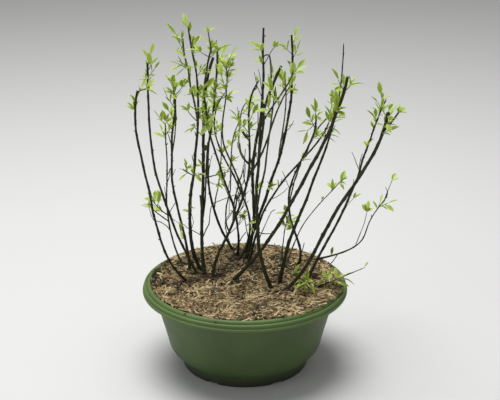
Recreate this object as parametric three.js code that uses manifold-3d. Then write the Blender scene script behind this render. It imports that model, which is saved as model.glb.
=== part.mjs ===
import * as THREE from "three";
import { mergeVertices } from "three/addons/utils/BufferGeometryUtils.js";
import Module from "manifold-3d";

// A young blueberry bush just coming into leaf, in a round bowl planter filled with wood-chip mulch.
// Millimetres, +Z up, +Y to the back, origin at the centre of the pot's flat underside.

const wasm = await Module();
wasm.setup();

// ---------------------------------------------------------------- driving dimensions

const CLEARANCE = 0.3; // between pieces that rest on each other
const SEGMENTS = 40; // round the pot and its mulch

const POT = {
  height: 152.5,
  floor: 5,
  wall: 3.2,
  footRadius: 110.5,
  footEdge: 2, // bevel round the underside
  footHeight: 24,
  footTopRadius: 117,
  kneeRadius: 130.5, // where the bowl turns from its foot into its wall
  kneeHeight: 39,
  lean: 0.288, // outward lean of the wall, per millimetre of height
  crestRadius: 167.5, // the rim's highest ring
  collarRadius: 177.6, // the collar that hangs outside the rim
  collarTop: 146,
  collarBottom: 137,
  collarThickness: 3,
};

const MULCH = {
  top: 155,
  shoulder: 142, // the surface is level inside this radius
  edge: 146, // height of the surface where it meets the pot
};

const SPREAD = 0.5; // stems lean out early and straighten as they rise
const BENDS = [0.25, 0.5, 0.75]; // the fractions of a stem's rise that its sways are given at
const KINK = 1.3; // sideways step at each bud
const BUD_SPACING = 38;
const FLARE = 1; // extra radius at the foot
const FLARE_HEIGHT = 10;
const LIMB_SIDES = 6;
const TWIG_SIDES = 3;

// Leans are angles off the shoot or twig that carries, vary is how far a value strays either way, and a
// leaf's root is sunk past the middle of its shoot.
const SHOOT = { sides: 3, radius: 1.2, taper: 0.7, lean: 0.8, lift: 0.25, shortest: 0.7, longest: 1.2 };
const LEAF = { length: 21, vary: 5, widthRatio: 0.36, thickness: 1, sunk: 0.5 };
const LEAVES = { count: 3, first: 0.3, last: 0.96, lean: 0.9, vary: 0.15, endLean: 0.15 }; // on a shoot
const MARGIN = 0.6; // least distance that a spray keeps from its neighbours
const TRIES = 4; // directions that a shoot may take before it is left out
const FULL_TURN = 2 * Math.PI;
const GOLDEN_ANGLE = Math.PI * (3 - Math.sqrt(5));
const SEED = 1907;
const SEED_STEP = 100; // from one stem or branch to the next
const SPRAY_SEED = 22; // from a stem's own kinks to the shoots and leaves it bears
const WELD = 0.1; // facets smaller than this are closed up after joining

// Stems that rise from the mulch: foot x y; tip x y z; sways, how far the stem stands to the right of the
// straight line from foot to tip at each of the bends; girth at foot and tip; the fraction of the rise that
// is a bare limb; the fractions between which the spray above it has leafy shoots; their number; and their
// length.
const STEMS = [
  ["left_1", [-99, -16], [-168, -90, 515], [-27, -23, -19], [3.9, 3.4], 0.78, [0.87, 1], 2, 20],
  ["left_2", [-84, 18], [-162, 40, 528], [-22, -30, -20], [4.2, 3.3], 0.78, [0.84, 1], 4, 22],
  ["left_3", [-98, 36], [-122, 80, 470], [-7, -16, -9], [4.6, 3.4], 0.68, [0.76, 1], 4, 20],
  ["left_4", [-78, 36], [-92, 10, 595], [-14, 2, 10], [6.6, 2.4], 0.66, [0.7, 1], 4, 20],
  ["left_5", [-70, 10], [-53, 60, 532], [-8, -9, -13], [5.8, 4.4], 0.58, [0.6, 0.93], 4, 19],
  ["left_6", [-110, 54], [-141, 130, 397], [-16, -14, -6], [3, 2], 0.7, [0.84, 1], 3, 17],
  ["back_1", [-22, 127], [-49, 110, 550], [-32, -30, -10], [4.4, 2.8], 0.66, [0.68, 1], 5, 20],
  ["back_2", [-14, 104], [-52, -84, 580], [6, -10, -20], [3.8, 2.6], 0.6, [0.62, 1], 5, 20],
  ["back_3", [-12, 80], [-34, 150, 448], [24, 1, -24], [4.4, 2.2], 0.68, [0.7, 1], 4, 20],
  ["back_4", [1, 86], [62, 90, 510], [-1, -17, -18], [5.2, 4.4], 0.76, [0.8, 0.95], 2, 15],
  ["back_5", [1, 106], [78, 60, 570], [12, 23, 20], [5.6, 3.2], 0.74, [0.8, 0.97], 4, 17],
  ["back_6", [6, 70], [141, 20, 431], [-18, -26, -10], [4.4, 2.6], 0.86, [0.88, 1], 3, 22],
  ["middle_1", [-56, 0], [24, 30, 501], [10, 21, 3], [5.2, 2.8], 0.68, [0.72, 0.86], 3, 22],
  ["middle_2", [46, -48], [30, -60, 609], [-21, -16, -6], [6.2, 3], 0.76, [0.84, 0.95], 2, 12],
  ["middle_3", [-22, -12], [160, -110, 543], [21, 22, 17], [5.8, 4.6], 0.8, [0.84, 0.97], 3, 20],
  ["right_1", [60, -19], [159, -20, 575], [1, 14, 17], [6.2, 1.6], 0.7, [0.72, 0.8], 2, 12],
  ["right_2", [92, 52], [114, -60, 468], [-11, -30, -14], [4.2, 2.6], 0.8, [0.84, 1], 3, 22],
  ["right_3", [69, -51], [225, -100, 482], [10, 8, 13], [5.8, 4.8], 0.84, [0.87, 1], 4, 24],
  ["right_4", [111, 5], [239, 50, 462], [8, 11, 4], [4.8, 2.6], 0.78, [0.83, 1], 3, 18],
  ["right_5", [116, 78], [252, 110, 280], [57, 37, 23], [2.6, 1.4], 0.58, [0.62, 0.78], 2, 20],
  ["right_6", [73, 70], [172, 150, 280], [-6, -11, -6], [2.2, 1.5], 0, [0.84, 1], 2, 14],
  ["right_7", [75, 44], [78, 50, 255], [-11, -9, -6], [2.4, 1.4], 0, [0.7, 1], 2, 14],
  ["low_1", [82, 26], [110, -66, 174], [3, 4, 2], [2.4, 1.6], 0, [0.3, 1], 4, 13],
  ["low_2", [118, -40], [202, -44, 193], [4, 3, 1], [2, 1.4], 0, [0.12, 0.5], 3, 13],
];

// Side sprays: the stem that carries each one and the fraction of that stem's rise where it leaves; then
// tip, sways, girth, leafy fractions, number and length of shoots, as above.
const BRANCHES = [
  ["left_2_side", "left_2", 0.28, [-155, -20, 307], [-2, -2, -2], [2.2, 1.4], [0.5, 1], 2, 12],
  ["left_4_side", "left_4", 0.63, [-93, -130, 608], [1, 1, 0], [3.4, 2.2], [0.35, 1], 5, 20],
  ["left_5_front", "left_5", 0.47, [-99, -90, 386], [-1, -1, -1], [2.2, 1.4], [0.4, 1], 2, 14],
  ["left_5_right", "left_5", 0.45, [-25, 60, 331], [3, 4, 3], [2.2, 1.4], [0.4, 1], 2, 14],
  ["left_6_side", "left_6", 0.3, [-170, 90, 266], [-5, -8, -7], [2.2, 1.4], [0.6, 1], 2, 14],
  ["back_3_side", "back_3", 0.12, [-2, 60, 247], [1, 1, 1], [2.2, 1.3], [0.5, 1], 2, 14],
  ["back_5_side", "back_5", 0.46, [71, 150, 472], [1, 4, 4], [3, 1.8], [0.7, 1], 2, 16],
  ["back_6_side", "back_6", 0.78, [162, 120, 439], [-5, -4, 2], [3, 2], [0.5, 1], 3, 20],
  ["middle_1_left", "middle_1", 0.42, [-31, -60, 554], [-11, -19, -7], [3.6, 1.6], [0.78, 1], 4, 22],
  ["middle_1_right", "middle_1", 0.51, [78, 20, 497], [4, 1, -4], [3.6, 2.2], [0.7, 1], 2, 15],
  ["middle_1_back", "middle_1", 0.58, [5, 126, 438], [-17, -15, -12], [2.8, 1.8], [0.56, 1], 3, 14],
  ["middle_1_front", "middle_1", 0.24, [-9, -110, 468], [-8, -5, -7], [2.6, 1.6], [0.75, 1], 2, 18],
  ["middle_2_front", "middle_2", 0.33, [48, -130, 533], [2, 2, 1], [3.8, 2], [0.75, 1], 2, 16],
  ["middle_2_right", "middle_2", 0.64, [77, -50, 538], [-1, 2, 5], [3.2, 2], [0.6, 1], 2, 15],
];

// ---------------------------------------------------------------- materials

const plastic = () => new THREE.MeshStandardMaterial({ color: 0x3f6b2a, roughness: 0.45, metalness: 0 });
const woodChips = () => new THREE.MeshStandardMaterial({ color: 0xa88a5e, roughness: 0.95, metalness: 0 });
const bark = () => new THREE.MeshStandardMaterial({ color: 0x2f2c20, roughness: 0.85, metalness: 0 });
const foliage = () => new THREE.MeshStandardMaterial({ color: 0x86b53a, roughness: 0.55, metalness: 0 });

// ---------------------------------------------------------------- joining

// A closed three.js geometry as a solid that can be joined and cut.
function toSolid(geometry) {
  const bareShape = geometry.clone();
  bareShape.deleteAttribute("normal");
  bareShape.deleteAttribute("uv");
  const merged = mergeVertices(bareShape, 1e-4);
  return new wasm.Manifold(
    new wasm.Mesh({
      numProp: 3,
      vertProperties: merged.attributes.position.array,
      triVerts: new Uint32Array(merged.index.array),
    }),
  );
}

function toGeometry(solid) {
  const mesh = solid.getMesh();
  const geometry = new THREE.BufferGeometry();
  geometry.setAttribute("position", new THREE.BufferAttribute(mesh.vertProperties, 3));
  geometry.setIndex(new THREE.BufferAttribute(mesh.triVerts, 1));
  return geometry;
}

// The one body that holds the joined pieces; inner hollows and loose scraps go.
function mainBody(solid) {
  const bodies = solid.decompose();
  return bodies.reduce((largest, body) => (body.volume() > largest.volume() ? body : largest));
}

// ---------------------------------------------------------------- pot and mulch

const wallRadius = (z) => POT.kneeRadius + (z - POT.kneeHeight) * POT.lean;
const point = (radius, z) => new THREE.Vector2(radius, z);

// A quarter round from one corner of a profile to another, bulging outwards.
function quarterRound(from, to, steps) {
  const points = [];
  for (let i = 1; i < steps; i++) {
    const angle = ((i / steps) * Math.PI) / 2;
    points.push(
      point(from.x + (to.x - from.x) * Math.sin(angle), to.y - (to.y - from.y) * Math.cos(angle)),
    );
  }
  return [from, ...points, to];
}

// The bowl in section: foot, knee, leaning wall, and a collar that folds out and down over the rim.
function potProfile() {
  const { height, wall, footEdge, collarRadius, collarTop, collarBottom, collarThickness } = POT;
  const foldHeight = collarTop + 1;
  return [
    point(0, 0),
    point(POT.footRadius - footEdge, 0),
    point(POT.footRadius, footEdge),
    ...quarterRound(point(POT.footTopRadius, POT.footHeight), point(POT.kneeRadius, POT.kneeHeight), 3),
    point(wallRadius(foldHeight), foldHeight),
    point(collarRadius - collarThickness, collarTop - collarThickness),
    point(collarRadius - collarThickness, collarBottom),
    point(collarRadius, collarBottom),
    point(collarRadius, collarTop),
    point(POT.crestRadius, height),
    point(POT.crestRadius - 2 * wall, height - 1),
    ...insideOfPot(0),
  ];
}

// The inner face from the collar's level down to the middle of the floor, drawn in by a gap.
function insideOfPot(gap) {
  const inset = POT.wall + gap;
  return [
    point(wallRadius(POT.collarBottom) - inset, POT.collarBottom),
    point(POT.kneeRadius - inset, POT.kneeHeight + POT.wall),
    point(POT.footTopRadius - inset, POT.footHeight + POT.wall),
    point(POT.footRadius - inset, POT.floor + gap),
    point(0, POT.floor + gap),
  ];
}

// The mulch fills the pot from its floor and stands a little above the rim, falling to it at the edge.
function mulchProfile() {
  const gap = CLEARANCE * 1.3; // measured level, across the leaning wall
  return [
    ...insideOfPot(gap).reverse(),
    point(wallRadius(MULCH.edge) - POT.wall - gap, MULCH.edge),
    point((MULCH.shoulder + wallRadius(MULCH.edge)) / 2, (MULCH.edge + MULCH.top * 2) / 3),
    point(MULCH.shoulder, MULCH.top),
    point(0, MULCH.top),
  ];
}

const turned = (profile) => new THREE.LatheGeometry(profile, SEGMENTS).rotateX(Math.PI / 2);

// ---------------------------------------------------------------- how the bush grows

// Repeatable random numbers, 0 to 1.
function random(seed) {
  let state = seed;
  return () => {
    state = (state + 0x6d2b79f5) | 0;
    let mixed = Math.imul(state ^ (state >>> 15), 1 | state);
    mixed = (mixed + Math.imul(mixed ^ (mixed >>> 7), 61 | mixed)) ^ mixed;
    return ((mixed ^ (mixed >>> 14)) >>> 0) / 4294967296;
  };
}

// How far a stem stands aside, at a fraction of its rise: a curve through nothing at both ends and through
// its sways at the bends.
function swayAt(sway, t) {
  const knots = [0, ...BENDS, 1];
  let total = 0;
  BENDS.forEach((bend, i) => {
    const others = knots.filter((knot) => knot !== bend);
    total += others.reduce((product, knot) => (product * (t - knot)) / (bend - knot), sway[i]);
  });
  return total;
}

// The middle line of a stem or branch, by the fraction of its rise, with a small kink at each bud.
class Growth extends THREE.Curve {
  constructor({ start, tip, sway, girth, seed }) {
    super();
    Object.assign(this, { start, tip, sway, girth });
    const dice = random(seed);
    const buds = Math.max(2, Math.round(start.distanceTo(tip) / BUD_SPACING));
    this.kinks = [];
    for (let i = 0; i <= buds; i++) {
      const size = i === 0 || i === buds ? 0 : KINK;
      this.kinks.push([size * (2 * dice() - 1), size * (2 * dice() - 1)]);
    }
  }

  getPoint(t, target = new THREE.Vector3()) {
    const { start, tip, sway, kinks } = this;
    const place = Math.min(Math.max(t, 0), 1) * (kinks.length - 1);
    const bud = Math.min(Math.floor(place), kinks.length - 2);
    const kink = (axis) => THREE.MathUtils.lerp(kinks[bud][axis], kinks[bud + 1][axis], place - bud);
    return target.set(
      start.x + (tip.x - start.x) * t + swayAt(sway, t) + kink(0),
      start.y + (tip.y - start.y) * t * (1 + SPREAD * (1 - t)) + kink(1),
      start.z + (tip.z - start.z) * t,
    );
  }

  radius(t) {
    return THREE.MathUtils.lerp(this.girth[0], this.girth[1], t) / 2;
  }
}

// A limb is faceted into straight lengths between rings, about a bud apart.
function ringCount(line, from, to) {
  return Math.max(1, Math.round(line.getPoint(from).distanceTo(line.getPoint(to)) / BUD_SPACING));
}

// The middle of the faceted limb at a fraction of the rise.
function middleOf(line, from, to, t) {
  const rings = ringCount(line, from, to);
  const place = ((t - from) / (to - from)) * rings;
  const ring = Math.min(Math.floor(place), rings - 1);
  const below = line.getPoint(from + ((to - from) * ring) / rings);
  const above = line.getPoint(from + ((to - from) * (ring + 1)) / rings);
  return below.lerp(above, place - ring);
}

// A tapering limb along part of a growth line, closed at both ends. It starts flat on the mulch if it
// stands there, and flares a little at that foot.
function limbGeometry(line, from, to, sides, extra = 0) {
  const geometry = new THREE.CylinderGeometry(1, 1, 1, sides, ringCount(line, from, to));
  const place = geometry.attributes.position;
  const ground = MULCH.top + CLEARANCE;
  const vertex = new THREE.Vector3();
  for (let i = 0; i < place.count; i++) {
    vertex.fromBufferAttribute(place, i);
    const t = from + (to - from) * (vertex.y + 0.5);
    const centre = line.getPoint(t);
    const along = line.getTangent(t);
    const across = new THREE.Vector3(0, 1, 0).addScaledVector(along, -along.y).normalize();
    const beside = new THREE.Vector3().crossVectors(across, along);
    const standing = line.start.z < MULCH.top + 1;
    const flare = standing ? FLARE * Math.exp(-(centre.z - MULCH.top) / FLARE_HEIGHT) : 0;
    const radius = line.radius(t) + flare + extra;
    centre.addScaledVector(across, vertex.x * radius).addScaledVector(beside, vertex.z * radius);
    if (standing && t === 0) centre.addScaledVector(along, (ground - centre.z) / along.z);
    place.setXYZ(i, centre.x, centre.y, centre.z);
  }
  return geometry;
}

// A straight tapering shoot.
function shootGeometry({ root, direction, length }) {
  const { sides, radius, taper } = SHOOT;
  const turn = new THREE.Quaternion().setFromUnitVectors(new THREE.Vector3(0, 1, 0), direction);
  return new THREE.CylinderGeometry(radius * taper, radius, length, sides)
    .translate(0, length / 2, 0)
    .applyQuaternion(turn)
    .translate(root.x, root.y, root.z);
}

// A pointed leaf of eight faces, its root sunk into the shoot.
function leafGeometry({ root, direction, length, up }) {
  const side = new THREE.Vector3().crossVectors(direction, up).normalize();
  const face = new THREE.Vector3().crossVectors(side, direction);
  const frame = new THREE.Matrix4().makeBasis(side, direction, face).setPosition(root);
  return new THREE.OctahedronGeometry(1)
    .scale((length * LEAF.widthRatio) / 2, length / 2, LEAF.thickness / 2)
    .translate(0, length / 2 - LEAF.sunk, 0)
    .applyMatrix4(frame);
}

// A direction that leans away from another by an angle, towards a bearing round it.
function leaning(direction, angle, bearing) {
  const reference = Math.abs(direction.z) < 0.9 ? new THREE.Vector3(0, 0, 1) : new THREE.Vector3(1, 0, 0);
  const across = new THREE.Vector3().crossVectors(direction, reference).normalize();
  const beside = new THREE.Vector3().crossVectors(direction, across);
  return direction
    .clone()
    .multiplyScalar(Math.cos(angle))
    .addScaledVector(across, Math.sin(angle) * Math.cos(bearing))
    .addScaledVector(beside, Math.sin(angle) * Math.sin(bearing));
}

// ---------------------------------------------------------------- keeping each spray to its own space

const SAMPLE = 9; // spacing of the places along a line that distances are measured from

// The middle line of a limb or main twig as short straight pieces, with its thickness.
function track(line, from, to) {
  const count = Math.max(2, Math.ceil(line.getPoint(from).distanceTo(line.getPoint(to)) / SAMPLE));
  const pieces = [];
  for (let i = 0; i < count; i++) {
    const t0 = from + ((to - from) * i) / count;
    const t1 = from + ((to - from) * (i + 1)) / count;
    pieces.push(new THREE.Line3(line.getPoint(t0), line.getPoint(t1)));
  }
  return { pieces, radius: line.radius(from) };
}

const nearest = new THREE.Vector3();
function distanceTo(pieces, place) {
  let least = Infinity;
  for (const piece of pieces) {
    piece.closestPointToPoint(place, true, nearest);
    least = Math.min(least, nearest.distanceTo(place));
  }
  return least;
}

// Above the mulch, and above the rim further out.
function clearOfPot(place, halfWidth) {
  const radius = Math.hypot(place.x, place.y);
  if (radius > POT.collarRadius + halfWidth + MARGIN) return true;
  return place.z > MULCH.top + halfWidth + MARGIN;
}

// True where the place is nearer to its own spray's main twig than to any other, and clear of every limb.
function inOwnSpace(place, halfWidth, own, sprays, limbs) {
  if (!clearOfPot(place, halfWidth)) return false;
  const room = halfWidth + MARGIN;
  const home = distanceTo(own.track.pieces, place);
  for (const other of sprays) {
    if (other === own) continue;
    if (distanceTo(other.track.pieces, place) < home + 2 * room + other.track.radius) return false;
  }
  return limbs.every((limb) => distanceTo(limb.track.pieces, place) > limb.track.radius + room);
}

// ---------------------------------------------------------------- sprays

// Leaves along a shoot by turns, the last one at its end and nearly in line with it.
function growLeaves(shoot, dice, fits) {
  const leaves = [];
  for (let i = 0; i < LEAVES.count; i++) {
    const place = i / (LEAVES.count - 1);
    const bearing = FULL_TURN * dice();
    const lean = place < 1 ? LEAVES.lean + LEAVES.vary * (2 * dice() - 1) : LEAVES.endLean;
    const direction = leaning(shoot.direction, lean, bearing);
    const length = LEAF.length + LEAF.vary * (2 * dice() - 1);
    const up = new THREE.Vector3(dice() - 0.5, dice() - 0.5, 1);
    const along = THREE.MathUtils.lerp(LEAVES.first, LEAVES.last, place);
    const root = shoot.root.clone().addScaledVector(shoot.direction, shoot.length * along);
    const halfWidth = (length * LEAF.widthRatio) / 2;
    const inside = [0.25, 0.5, 0.75, 1].every((part) => {
      const place = root.clone().addScaledVector(direction, length * part);
      return fits(place, halfWidth * Math.sin(Math.PI * part));
    });
    if (inside) leaves.push({ root, direction, length, up });
  }
  return leaves;
}

// Shoots round the main twig at even steps, each turned by the golden angle from the last.
function growShoots(spray, dice, fits) {
  const shoots = [];
  const [from, to] = spray.leafy;
  for (let i = 0; i < spray.shoots; i++) {
    const t = from + ((to - from) * (i + 0.5 + 0.5 * (dice() - 0.5))) / spray.shoots;
    const bearing = i * GOLDEN_ANGLE + FULL_TURN * dice();
    const length = spray.reach * THREE.MathUtils.lerp(SHOOT.shortest, SHOOT.longest, dice());
    const root = middleOf(spray.line, spray.from, 1, t);
    for (let turn = 0; turn < TRIES; turn++) {
      const bearingNow = bearing + (turn * FULL_TURN) / TRIES;
      const direction = leaning(spray.line.getTangent(t), SHOOT.lean, bearingNow);
      direction.z += SHOOT.lift;
      direction.normalize();
      const ends = [0.5, 1].map((part) => root.clone().addScaledVector(direction, length * part));
      if (!ends.every((place) => fits(place, SHOOT.radius))) continue;
      shoots.push({ root, direction, length });
      break;
    }
  }
  return shoots;
}

function sprayGeometry(spray, sprays, limbs) {
  const dice = random(spray.seed + SPRAY_SEED);
  const fits = (place, halfWidth) => inOwnSpace(place, halfWidth, spray, sprays, limbs);
  let whole = toSolid(limbGeometry(spray.line, spray.from, 1, TWIG_SIDES));
  for (const shoot of growShoots(spray, dice, fits)) {
    whole = whole.add(toSolid(shootGeometry(shoot)));
    for (const leaf of growLeaves(shoot, dice, fits)) whole = whole.add(toSolid(leafGeometry(leaf)));
  }
  if (spray.carrier) whole = whole.subtract(toSolid(seat(spray)));
  return toGeometry(mainBody(whole.simplify(WELD)));
}

// The carrying limb, thicker by the clearance and by what closing up the facets may take.
function seat({ carrier }) {
  return limbGeometry(carrier.line, 0, carrier.bare, LIMB_SIDES, CLEARANCE + WELD);
}

// ---------------------------------------------------------------- the whole plant

const part = new THREE.Group();

function addPiece(name, geometry, material) {
  const mesh = new THREE.Mesh(geometry, material);
  mesh.name = name;
  part.add(mesh);
}

const limbs = [];
const sprays = [];

STEMS.forEach(([name, foot, tip, sway, girth, bare, leafy, shoots, reach], i) => {
  const seed = SEED + SEED_STEP * i;
  const start = new THREE.Vector3(...foot, MULCH.top);
  const line = new Growth({ start, tip: new THREE.Vector3(...tip), sway, girth, seed });
  const gap = bare && CLEARANCE / (tip[2] - MULCH.top);
  if (bare) limbs.push({ name, line, bare, track: track(line, 0, bare) });
  const from = bare + gap;
  sprays.push({ name, line, from, leafy, shoots, reach, seed, track: track(line, from, 1) });
});

BRANCHES.forEach(([name, parent, at, tip, sway, girth, leafy, shoots, reach], i) => {
  const seed = SEED + SEED_STEP * (STEMS.length + i);
  const carrier = limbs.find((limb) => limb.name === parent);
  const start = middleOf(carrier.line, 0, carrier.bare, at);
  const line = new Growth({ start, tip: new THREE.Vector3(...tip), sway, girth, seed });
  sprays.push({ name, line, from: 0, leafy, shoots, reach, seed, carrier, track: track(line, 0, 1) });
});

addPiece("pot", turned(potProfile()), plastic());
addPiece("mulch", turned(mulchProfile()), woodChips());
for (const limb of limbs) {
  addPiece(`${limb.name}_stem`, limbGeometry(limb.line, 0, limb.bare, LIMB_SIDES), bark());
}
for (const spray of sprays) {
  addPiece(`${spray.name}_spray`, sprayGeometry(spray, sprays, limbs), foliage());
}

export default part;
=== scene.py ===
import math
from functools import partial
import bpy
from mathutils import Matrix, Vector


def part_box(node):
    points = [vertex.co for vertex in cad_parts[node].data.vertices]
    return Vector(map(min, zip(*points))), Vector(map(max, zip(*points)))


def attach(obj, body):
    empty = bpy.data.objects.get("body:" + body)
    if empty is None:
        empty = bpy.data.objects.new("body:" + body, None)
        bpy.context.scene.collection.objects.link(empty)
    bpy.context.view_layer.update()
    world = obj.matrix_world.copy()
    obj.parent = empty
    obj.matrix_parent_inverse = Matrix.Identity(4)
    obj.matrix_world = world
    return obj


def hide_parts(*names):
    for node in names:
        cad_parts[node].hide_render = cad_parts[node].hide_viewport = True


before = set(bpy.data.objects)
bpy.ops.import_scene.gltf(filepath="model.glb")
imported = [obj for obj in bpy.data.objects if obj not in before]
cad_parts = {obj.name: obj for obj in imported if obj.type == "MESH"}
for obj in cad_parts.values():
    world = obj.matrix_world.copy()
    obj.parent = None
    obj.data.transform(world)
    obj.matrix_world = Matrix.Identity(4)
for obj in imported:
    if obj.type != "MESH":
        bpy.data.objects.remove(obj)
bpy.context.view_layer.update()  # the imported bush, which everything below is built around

from types import SimpleNamespace as Record

import bpy
import numpy as np
from mathutils import Vector

# A young blueberry bush just coming into leaf, in a round bowl planter of green plastic filled with wood-chip
# mulch. Lengths here are millimetres, and every mesh is scaled to metres as it is made. +Z is up and +Y back.

MM = 0.001
FULL_TURN = 2 * math.pi
GOLDEN_ANGLE = math.pi * (3 - math.sqrt(5))


def top_corner(node):
    """Highest corner of a solid, in millimetres."""
    return np.array(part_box(node)[1]) / MM


POT_HIGH, MULCH_HIGH = top_corner("pot"), top_corner("mulch")

# ---- the growth rule, as in the solids

CLEARANCE = 0.3
MULCH_TOP = round(MULCH_HIGH[2], 3)
COLLAR_RADIUS = round(POT_HIGH[0], 3)
SPREAD = 0.5  # stems lean out early and straighten as they rise
BENDS = (0.25, 0.5, 0.75)  # the fractions of a stem's rise that its sways are given at
KINK = 1.3  # sideways step at each bud
BUD_SPACING = 38
FLARE = 1  # extra radius at the foot
FLARE_HEIGHT = 10

SHOOT = Record(radius=1.2, lean=0.8, lift=0.25, shortest=0.7, longest=1.2)
LEAF = Record(length=21, vary=5, width_ratio=0.36)
LEAVES = Record(count=3, first=0.3, last=0.96, lean=0.9, vary=0.15, end_lean=0.15)
MARGIN = 0.6  # least distance that a spray keeps from its neighbours
TRIES = 4  # directions that a shoot may take before it is left out
SEED = 1907
SEED_STEP = 100  # from one stem or branch to the next
SPRAY_SEED = 22  # from a stem's own kinks to the shoots and leaves it bears
SAMPLE = 9  # spacing of the places along a line that distances are measured from

# Stems: foot x y; tip x y z; sways at the bends; girth at foot and tip; the bare fraction; the leafy
# fractions; the number and length of shoots.
STEMS = [
    ("left_1", (-99, -16), (-168, -90, 515), (-27, -23, -19), (3.9, 3.4), 0.78, (0.87, 1), 2, 20),
    ("left_2", (-84, 18), (-162, 40, 528), (-22, -30, -20), (4.2, 3.3), 0.78, (0.84, 1), 4, 22),
    ("left_3", (-98, 36), (-122, 80, 470), (-7, -16, -9), (4.6, 3.4), 0.68, (0.76, 1), 4, 20),
    ("left_4", (-78, 36), (-92, 10, 595), (-14, 2, 10), (6.6, 2.4), 0.66, (0.7, 1), 4, 20),
    ("left_5", (-70, 10), (-53, 60, 532), (-8, -9, -13), (5.8, 4.4), 0.58, (0.6, 0.93), 4, 19),
    ("left_6", (-110, 54), (-141, 130, 397), (-16, -14, -6), (3, 2), 0.7, (0.84, 1), 3, 17),
    ("back_1", (-22, 127), (-49, 110, 550), (-32, -30, -10), (4.4, 2.8), 0.66, (0.68, 1), 5, 20),
    ("back_2", (-14, 104), (-52, -84, 580), (6, -10, -20), (3.8, 2.6), 0.6, (0.62, 1), 5, 20),
    ("back_3", (-12, 80), (-34, 150, 448), (24, 1, -24), (4.4, 2.2), 0.68, (0.7, 1), 4, 20),
    ("back_4", (1, 86), (62, 90, 510), (-1, -17, -18), (5.2, 4.4), 0.76, (0.8, 0.95), 2, 15),
    ("back_5", (1, 106), (78, 60, 570), (12, 23, 20), (5.6, 3.2), 0.74, (0.8, 0.97), 4, 17),
    ("back_6", (6, 70), (141, 20, 431), (-18, -26, -10), (4.4, 2.6), 0.86, (0.88, 1), 3, 22),
    ("middle_1", (-56, 0), (24, 30, 501), (10, 21, 3), (5.2, 2.8), 0.68, (0.72, 0.86), 3, 22),
    ("middle_2", (46, -48), (30, -60, 609), (-21, -16, -6), (6.2, 3), 0.76, (0.84, 0.95), 2, 12),
    ("middle_3", (-22, -12), (160, -110, 543), (21, 22, 17), (5.8, 4.6), 0.8, (0.84, 0.97), 3, 20),
    ("right_1", (60, -19), (159, -20, 575), (1, 14, 17), (6.2, 1.6), 0.7, (0.72, 0.8), 2, 12),
    ("right_2", (92, 52), (114, -60, 468), (-11, -30, -14), (4.2, 2.6), 0.8, (0.84, 1), 3, 22),
    ("right_3", (69, -51), (225, -100, 482), (10, 8, 13), (5.8, 4.8), 0.84, (0.87, 1), 4, 24),
    ("right_4", (111, 5), (239, 50, 462), (8, 11, 4), (4.8, 2.6), 0.78, (0.83, 1), 3, 18),
    ("right_5", (116, 78), (252, 110, 280), (57, 37, 23), (2.6, 1.4), 0.58, (0.62, 0.78), 2, 20),
    ("right_6", (73, 70), (172, 150, 280), (-6, -11, -6), (2.2, 1.5), 0, (0.84, 1), 2, 14),
    ("right_7", (75, 44), (78, 50, 255), (-11, -9, -6), (2.4, 1.4), 0, (0.7, 1), 2, 14),
    ("low_1", (82, 26), (110, -66, 174), (3, 4, 2), (2.4, 1.6), 0, (0.3, 1), 4, 13),
    ("low_2", (118, -40), (202, -44, 193), (4, 3, 1), (2, 1.4), 0, (0.12, 0.5), 3, 13),
]

# Side sprays: the stem that carries each one and the fraction of its rise where it leaves; then as above.
BRANCHES = [
    ("left_2_side", "left_2", 0.28, (-155, -20, 307), (-2, -2, -2), (2.2, 1.4), (0.5, 1), 2, 12),
    ("left_4_side", "left_4", 0.63, (-93, -130, 608), (1, 1, 0), (3.4, 2.2), (0.35, 1), 5, 20),
    ("left_5_front", "left_5", 0.47, (-99, -90, 386), (-1, -1, -1), (2.2, 1.4), (0.4, 1), 2, 14),
    ("left_5_right", "left_5", 0.45, (-25, 60, 331), (3, 4, 3), (2.2, 1.4), (0.4, 1), 2, 14),
    ("left_6_side", "left_6", 0.3, (-170, 90, 266), (-5, -8, -7), (2.2, 1.4), (0.6, 1), 2, 14),
    ("back_3_side", "back_3", 0.12, (-2, 60, 247), (1, 1, 1), (2.2, 1.3), (0.5, 1), 2, 14),
    ("back_5_side", "back_5", 0.46, (71, 150, 472), (1, 4, 4), (3, 1.8), (0.7, 1), 2, 16),
    ("back_6_side", "back_6", 0.78, (162, 120, 439), (-5, -4, 2), (3, 2), (0.5, 1), 3, 20),
    ("middle_1_left", "middle_1", 0.42, (-31, -60, 554), (-11, -19, -7), (3.6, 1.6), (0.78, 1), 4, 22),
    ("middle_1_right", "middle_1", 0.51, (78, 20, 497), (4, 1, -4), (3.6, 2.2), (0.7, 1), 2, 15),
    ("middle_1_back", "middle_1", 0.58, (5, 126, 438), (-17, -15, -12), (2.8, 1.8), (0.56, 1), 3, 14),
    ("middle_1_front", "middle_1", 0.24, (-9, -110, 468), (-8, -5, -7), (2.6, 1.6), (0.75, 1), 2, 18),
    ("middle_2_front", "middle_2", 0.33, (48, -130, 533), (2, 2, 1), (3.8, 2), (0.75, 1), 2, 16),
    ("middle_2_right", "middle_2", 0.64, (77, -50, 538), (-1, 2, 5), (3.2, 2), (0.6, 1), 2, 15),
]

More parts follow.
